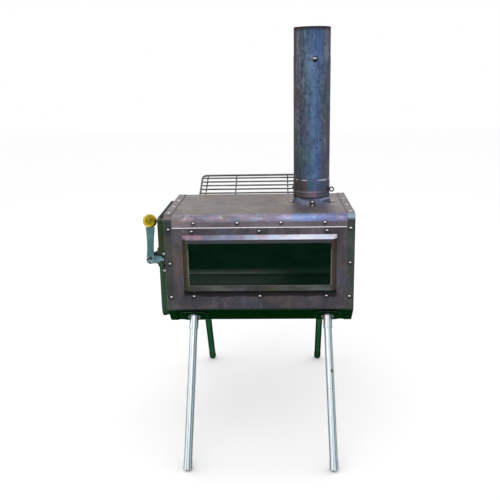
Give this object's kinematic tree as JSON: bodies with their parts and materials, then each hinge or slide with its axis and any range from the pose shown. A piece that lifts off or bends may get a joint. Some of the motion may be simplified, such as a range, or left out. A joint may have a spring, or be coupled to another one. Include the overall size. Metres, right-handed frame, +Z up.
{
  "type": "tent wood stove",
  "caption": "Portable sheet steel tent stove with a long front window, side door with ball lever latch, flue pipe with damper, rear folding rack and splayed plug-in legs.",
  "frame": {"origin": "on the ground, under the centre of the stove's bounding box", "axes": "+X to the stove's right as seen from the window side, away from the door; +Y to the back, towards the rack; +Z up the flue"},
  "size_m": [0.442, 0.577, 0.88],
  "materials": {
    "heat_tinted_steel": "satin sheet steel with heat tint at the bends",
    "cap_steel": "satin sheet steel, lightly heat tinted",
    "tinted_frame_steel": "satin sheet steel, pink and gold heat tint",
    "door_steel": "satin sheet steel",
    "rivet_steel": "bright domed heads",
    "bright_steel": "satin",
    "handle_steel": "satin",
    "leg_steel": "drawn tube, satin",
    "foot_steel": "satin",
    "button_steel": "polished",
    "dark_steel": "oxidised",
    "dark_bolt_steel": "bright head on a darkened washer",
    "sooty_steel": "matte, smoke darkened",
    "blued_steel": "heat blued, brown towards the edges",
    "rack_steel": "drawn wire, satin",
    "ceramic_glass": "clear, smoke darkened from inside",
    "glass_fibre_rope": "woven rope gasket",
    "knob_brass": "polished"
  },
  "bodies": {
    "stove": {"body_sheet": "heat_tinted_steel", "top_sheet": "heat_tinted_steel", "left_end_cap": "cap_steel", "right_end_cap": "cap_steel", "case_rivets": "rivet_steel", "window_frame": "tinted_frame_steel", "window_gasket": "glass_fibre_rope", "window_glass": "ceramic_glass", "glass_retainer": "sooty_steel", "window_rivets": "rivet_steel", "grate": "sooty_steel", "door_neck": "door_steel", "catch_plate": "bright_steel", "catch_bolts": "bright_steel", "hinge_leaves_fixed": "bright_steel", "hinge_pins": "bright_steel", "fitting_rivets": "rivet_steel", "flue_collar": "blued_steel", "collar_clips": "dark_steel", "rack_brackets": "bright_steel", "leg_plates": "leg_steel", "leg_sockets": "leg_steel", "upper_leg_front_left": "leg_steel", "upper_leg_front_right": "leg_steel", "upper_leg_rear_left": "leg_steel", "upper_leg_rear_right": "leg_steel", "lower_leg_front_left": "leg_steel", "lower_leg_front_right": "leg_steel", "lower_leg_rear_left": "leg_steel", "lower_leg_rear_right": "leg_steel", "leg_sleeves": "leg_steel", "button_springs": "dark_steel", "leg_feet": "foot_steel"},
    "door": {"door_panel": "door_steel", "door_liner": "sooty_steel", "door_gasket": "glass_fibre_rope", "hinge_leaves_door": "bright_steel", "door_rivets": "rivet_steel", "vent_rails": "bright_steel", "latch_bracket": "bright_steel", "latch_pivot": "bright_steel"},
    "vent": {"vent_slider": "blued_steel", "vent_knob": "knob_brass"},
    "latch": {"latch_arm": "handle_steel", "handle_bar": "handle_steel", "handle_bolts": "bright_steel", "handle_ball": "knob_brass"},
    "flue": {"flue_pipe": "blued_steel", "pipe_bolt": "dark_bolt_steel"},
    "damper": {"damper_rod": "bright_steel", "damper_plate": "sooty_steel", "damper_screws": "bright_steel"},
    "rack": {"rack_frame": "rack_steel", "rack_rods": "rack_steel", "rack_crossbars": "rack_steel"},
    "button_front_left": {"button_front_left": "button_steel"},
    "button_front_right": {"button_front_right": "button_steel"},
    "button_rear_left": {"button_rear_left": "button_steel"},
    "button_rear_right": {"button_rear_right": "button_steel"}
  },
  "joints": [
    {"name": "door_hinge", "type": "hinge", "parent": "stove", "child": "door", "pos_m": [-0.1909, 0.088, 0.39], "axis": [0, 0, -1], "range_deg": [0, 110]},
    {"name": "latch_lift", "type": "hinge", "parent": "door", "child": "latch", "pos_m": [-0.209, -0.1285, 0.4135], "axis": [0, -1, 0], "range_deg": [0, 60]},
    {"name": "vent_slide", "type": "slide", "parent": "door", "child": "vent", "axis": [0, 1, 0], "range_m": [0, 0.018]},
    {"name": "flue_lift", "type": "slide", "parent": "stove", "child": "flue", "axis": [0, 0, 1], "range_m": [0, 0.06]},
    {"name": "damper_turn", "type": "hinge", "parent": "flue", "child": "damper", "pos_m": [0.137, 0.0095, 0.5355], "axis": [0.9205, -0.3907, 0], "range_deg": [0, 90]},
    {"name": "rack_fold", "type": "hinge", "parent": "stove", "child": "rack", "pos_m": [0.021, 0.1365, 0.484], "axis": [1, 0, 0], "range_deg": [0, 66]},
    {"name": "leg_button_front_left", "type": "slide", "parent": "stove", "child": "button_front_left", "axis": [0.3491, -0.7881, 0.507], "range_m": [0, 0.0022], "stiffness_N_per_m": 800},
    {"name": "leg_button_front_right", "type": "slide", "parent": "stove", "child": "button_front_right", "axis": [-0.5673, 0.687, -0.4541], "range_m": [0, 0.0022], "stiffness_N_per_m": 800},
    {"name": "leg_button_rear_left", "type": "slide", "parent": "stove", "child": "button_rear_left", "axis": [0.2514, -0.8101, -0.5296], "range_m": [0, 0.0022], "stiffness_N_per_m": 800},
    {"name": "leg_button_rear_right", "type": "slide", "parent": "stove", "child": "button_rear_right", "axis": [-0.4934, -0.7263, -0.4786], "range_m": [0, 0.0022], "stiffness_N_per_m": 800}
  ]
}
